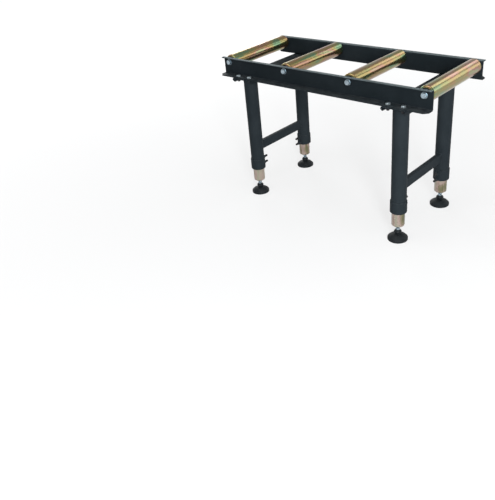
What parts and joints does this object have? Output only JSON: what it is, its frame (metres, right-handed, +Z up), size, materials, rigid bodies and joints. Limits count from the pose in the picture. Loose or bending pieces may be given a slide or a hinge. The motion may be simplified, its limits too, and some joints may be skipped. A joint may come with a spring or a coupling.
{
  "type": "outfeed roller table",
  "caption": "Free-standing outfeed table: folded side rails carry free-turning rollers, on telescopic legs with clamp screws and levelling feet.",
  "frame": {"origin": "on the floor under the middle of the table", "axes": "+X along the side rails to the right, +Y from the front rail to the back rail, +Z up"},
  "size_m": [1, 0.456, 0.648],
  "materials": {
    "frame_paint": "dark slate powder coat, semi-matt",
    "yellow_zinc": "yellow passivated zinc with iridescent bands",
    "bright_zinc": "bright bluish zinc plating",
    "bearing_steel": "ground steel",
    "black_oxide": "black oxide",
    "black_plastic": "moulded, fine grain"
  },
  "bodies": {
    "frame": {"front_side_rail": "frame_paint", "back_side_rail": "frame_paint", "left_cross_channel": "frame_paint", "right_cross_channel": "frame_paint", "left_brace": "frame_paint", "right_brace": "frame_paint", "front_left_leg_tube": "frame_paint", "back_left_leg_tube": "frame_paint", "front_right_leg_tube": "frame_paint", "back_right_leg_tube": "frame_paint", "front_left_collar": "frame_paint", "back_left_collar": "frame_paint", "front_right_collar": "frame_paint", "back_right_collar": "frame_paint", "clamp_weld_nuts": "frame_paint", "leg_bolts": "bright_zinc", "leg_nuts": "bright_zinc", "axle_bolts": "bright_zinc", "axle_washers": "bright_zinc", "bearing_inner_rings": "bearing_steel", "roller_1_axle": "bearing_steel", "roller_2_axle": "bearing_steel", "roller_3_axle": "bearing_steel", "roller_4_axle": "bearing_steel"},
    "roller_1": {"roller_1_tube": "yellow_zinc", "roller_1_end_housings": "black_plastic", "roller_1_bearings": "bearing_steel"},
    "roller_2": {"roller_2_tube": "yellow_zinc", "roller_2_end_housings": "black_plastic", "roller_2_bearings": "bearing_steel"},
    "roller_3": {"roller_3_tube": "yellow_zinc", "roller_3_end_housings": "black_plastic", "roller_3_bearings": "bearing_steel"},
    "roller_4": {"roller_4_tube": "yellow_zinc", "roller_4_end_housings": "black_plastic", "roller_4_bearings": "bearing_steel"},
    "front_left_inner_leg": {"front_left_inner_tube": "yellow_zinc", "front_left_tube_plug": "yellow_zinc"},
    "front_left_foot": {"front_left_foot_base": "black_plastic"},
    "front_left_stud": {"front_left_foot_stud": "bright_zinc"},
    "front_left_lower_clamp_screw": {"front_left_lower_clamp_screw": "black_oxide"},
    "front_left_upper_clamp_screw": {"front_left_upper_clamp_screw": "black_oxide"},
    "back_left_inner_leg": {"back_left_inner_tube": "yellow_zinc", "back_left_tube_plug": "yellow_zinc"},
    "back_left_foot": {"back_left_foot_base": "black_plastic"},
    "back_left_stud": {"back_left_foot_stud": "bright_zinc"},
    "back_left_lower_clamp_screw": {"back_left_lower_clamp_screw": "black_oxide"},
    "back_left_upper_clamp_screw": {"back_left_upper_clamp_screw": "black_oxide"},
    "front_right_inner_leg": {"front_right_inner_tube": "yellow_zinc", "front_right_tube_plug": "yellow_zinc"},
    "front_right_foot": {"front_right_foot_base": "black_plastic"},
    "front_right_stud": {"front_right_foot_stud": "bright_zinc"},
    "front_right_lower_clamp_screw": {"front_right_lower_clamp_screw": "black_oxide"},
    "front_right_upper_clamp_screw": {"front_right_upper_clamp_screw": "black_oxide"},
    "back_right_inner_leg": {"back_right_inner_tube": "yellow_zinc", "back_right_tube_plug": "yellow_zinc"},
    "back_right_foot": {"back_right_foot_base": "black_plastic"},
    "back_right_stud": {"back_right_foot_stud": "bright_zinc"},
    "back_right_lower_clamp_screw": {"back_right_lower_clamp_screw": "black_oxide"},
    "back_right_upper_clamp_screw": {"back_right_upper_clamp_screw": "black_oxide"}
  },
  "joints": [
    {"name": "roller_1_spin", "type": "hinge", "parent": "frame", "child": "roller_1", "pos_m": [-0.468, 0, 0.618], "axis": [0, 1, 0], "continuous": true},
    {"name": "roller_2_spin", "type": "hinge", "parent": "frame", "child": "roller_2", "pos_m": [-0.156, 0, 0.618], "axis": [0, 1, 0], "continuous": true},
    {"name": "roller_3_spin", "type": "hinge", "parent": "frame", "child": "roller_3", "pos_m": [0.156, 0, 0.618], "axis": [0, 1, 0], "continuous": true},
    {"name": "roller_4_spin", "type": "hinge", "parent": "frame", "child": "roller_4", "pos_m": [0.468, 0, 0.618], "axis": [0, 1, 0], "continuous": true},
    {"name": "front_left_leg_slide", "type": "slide", "parent": "frame", "child": "front_left_inner_leg", "axis": [0, 0, -1], "range_m": [-0.045, 0.3]},
    {"name": "front_left_foot_travel", "type": "slide", "parent": "front_left_inner_leg", "child": "front_left_foot", "axis": [0, 0, -1], "range_m": [-0.018, 0.025]},
    {"name": "front_left_stud_turn", "type": "hinge", "parent": "front_left_foot", "child": "front_left_stud", "pos_m": [-0.37, -0.17, 0.017], "axis": [0, 0, -1], "range_deg": [-3250, 4510]},
    {"name": "front_left_lower_clamp_turn", "type": "hinge", "parent": "frame", "child": "front_left_lower_clamp_screw", "pos_m": [-0.37, -0.13, 0.135], "axis": [0, 1, 0], "range_deg": [0, 540]},
    {"name": "front_left_upper_clamp_turn", "type": "hinge", "parent": "frame", "child": "front_left_upper_clamp_screw", "pos_m": [-0.37, -0.13, 0.163], "axis": [0, 1, 0], "range_deg": [0, 540]},
    {"name": "back_left_leg_slide", "type": "slide", "parent": "frame", "child": "back_left_inner_leg", "axis": [0, 0, -1], "range_m": [-0.045, 0.3]},
    {"name": "back_left_foot_travel", "type": "slide", "parent": "back_left_inner_leg", "child": "back_left_foot", "axis": [0, 0, -1], "range_m": [-0.018, 0.025]},
    {"name": "back_left_stud_turn", "type": "hinge", "parent": "back_left_foot", "child": "back_left_stud", "pos_m": [-0.37, 0.17, 0.017], "axis": [0, 0, -1], "range_deg": [-3250, 4510]},
    {"name": "back_left_lower_clamp_turn", "type": "hinge", "parent": "frame", "child": "back_left_lower_clamp_screw", "pos_m": [-0.37, 0.13, 0.135], "axis": [0, -1, 0], "range_deg": [0, 540]},
    {"name": "back_left_upper_clamp_turn", "type": "hinge", "parent": "frame", "child": "back_left_upper_clamp_screw", "pos_m": [-0.37, 0.13, 0.163], "axis": [0, -1, 0], "range_deg": [0, 540]},
    {"name": "front_right_leg_slide", "type": "slide", "parent": "frame", "child": "front_right_inner_leg", "axis": [0, 0, -1], "range_m": [-0.045, 0.3]},
    {"name": "front_right_foot_travel", "type": "slide", "parent": "front_right_inner_leg", "child": "front_right_foot", "axis": [0, 0, -1], "range_m": [-0.018, 0.025]},
    {"name": "front_right_stud_turn", "type": "hinge", "parent": "front_right_foot", "child": "front_right_stud", "pos_m": [0.37, -0.17, 0.017], "axis": [0, 0, -1], "range_deg": [-3250, 4510]},
    {"name": "front_right_lower_clamp_turn", "type": "hinge", "parent": "frame", "child": "front_right_lower_clamp_screw", "pos_m": [0.37, -0.13, 0.135], "axis": [0, 1, 0], "range_deg": [0, 540]},
    {"name": "front_right_upper_clamp_turn", "type": "hinge", "parent": "frame", "child": "front_right_upper_clamp_screw", "pos_m": [0.37, -0.13, 0.163], "axis": [0, 1, 0], "range_deg": [0, 540]},
    {"name": "back_right_leg_slide", "type": "slide", "parent": "frame", "child": "back_right_inner_leg", "axis": [0, 0, -1], "range_m": [-0.045, 0.3]},
    {"name": "back_right_foot_travel", "type": "slide", "parent": "back_right_inner_leg", "child": "back_right_foot", "axis": [0, 0, -1], "range_m": [-0.018, 0.025]},
    {"name": "back_right_stud_turn", "type": "hinge", "parent": "back_right_foot", "child": "back_right_stud", "pos_m": [0.37, 0.17, 0.017], "axis": [0, 0, -1], "range_deg": [-3250, 4510]},
    {"name": "back_right_lower_clamp_turn", "type": "hinge", "parent": "frame", "child": "back_right_lower_clamp_screw", "pos_m": [0.37, 0.13, 0.135], "axis": [0, -1, 0], "range_deg": [0, 540]},
    {"name": "back_right_upper_clamp_turn", "type": "hinge", "parent": "frame", "child": "back_right_upper_clamp_screw", "pos_m": [0.37, 0.13, 0.163], "axis": [0, -1, 0], "range_deg": [0, 540]}
  ],
  "couplings": [
    {"joint": "front_left_stud_turn", "follows": "front_left_foot_travel", "rad_per_m": 3141.6},
    {"joint": "back_left_stud_turn", "follows": "back_left_foot_travel", "rad_per_m": 3141.6},
    {"joint": "front_right_stud_turn", "follows": "front_right_foot_travel", "rad_per_m": 3141.6},
    {"joint": "back_right_stud_turn", "follows": "back_right_foot_travel", "rad_per_m": 3141.6}
  ]
}
